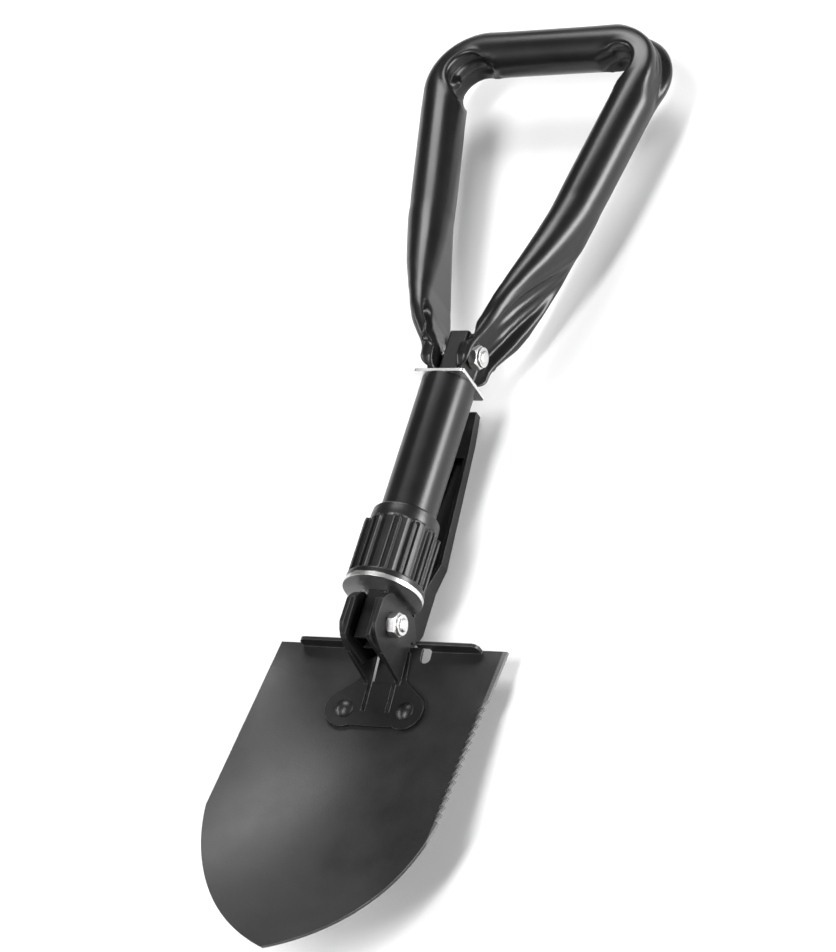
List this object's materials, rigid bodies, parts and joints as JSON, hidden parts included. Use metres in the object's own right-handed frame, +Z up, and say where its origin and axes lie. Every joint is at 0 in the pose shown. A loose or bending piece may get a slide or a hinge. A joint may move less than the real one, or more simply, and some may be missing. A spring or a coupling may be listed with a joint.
{
  "type": "folding camp shovel",
  "caption": "Compact folding shovel with a serrated dished blade, swing-out pick, screw collar and folding triangular tube grip.",
  "frame": {"origin": "bottom centre of the bounding box, on the floor under the shovel lying on the back of its pick, unfolded", "axes": "+X across, towards the serrated edge and the nuts; +Y along the shaft from blade tip to grip; +Z up, out of the dished face of the blade"},
  "size_m": [0.1258, 0.475, 0.0479],
  "materials": {
    "black_coat": "satin powder coat",
    "blade_coat": "semi-matt powder coat",
    "zinc": "bright zinc plate",
    "black_nylon": "satin moulded nylon",
    "nylon_ring": "satin"
  },
  "bodies": {
    "shaft": {"square_tube": "black_coat", "shaft_tube": "black_coat", "lock_plate": "zinc"},
    "ring": {"thrust_ring": "zinc"},
    "collar_nut": {"collar": "black_nylon"},
    "blade_unit": {"blade": "blade_coat", "blade_socket": "black_coat", "blade_rivets": "black_coat", "head_bolt": "zinc", "head_nut": "zinc", "head_nut_insert": "nylon_ring"},
    "pick_unit": {"pick": "black_coat"},
    "grip_unit": {"handle_frame": "black_coat", "handle_bolt": "zinc", "handle_nut": "zinc", "handle_nut_insert": "nylon_ring"}
  },
  "joints": [
    {"name": "blade_fold", "type": "hinge", "parent": "shaft", "child": "blade_unit", "pos_m": [0, -0.0847, 0.03], "axis": [-1, 0, 0], "range_deg": [0, 170]},
    {"name": "pick_swing", "type": "hinge", "parent": "shaft", "child": "pick_unit", "pos_m": [0, -0.0847, 0.03], "axis": [-1, 0, 0], "range_deg": [0, 90]},
    {"name": "grip_fold", "type": "hinge", "parent": "shaft", "child": "grip_unit", "pos_m": [0, 0.052, 0.03], "axis": [1, 0, 0], "range_deg": [0, 180]},
    {"name": "ring_slide", "type": "slide", "parent": "shaft", "child": "ring", "axis": [0, 1, 0], "range_m": [0, 0.005]},
    {"name": "collar_spin", "type": "hinge", "parent": "ring", "child": "collar_nut", "pos_m": [0, -0.0687, 0.03], "axis": [0, 1, 0], "range_deg": [0, 900]}
  ],
  "couplings": [
    {"joint": "ring_slide", "follows": "collar_spin", "m_per_rad": 0.00031831}
  ]
}
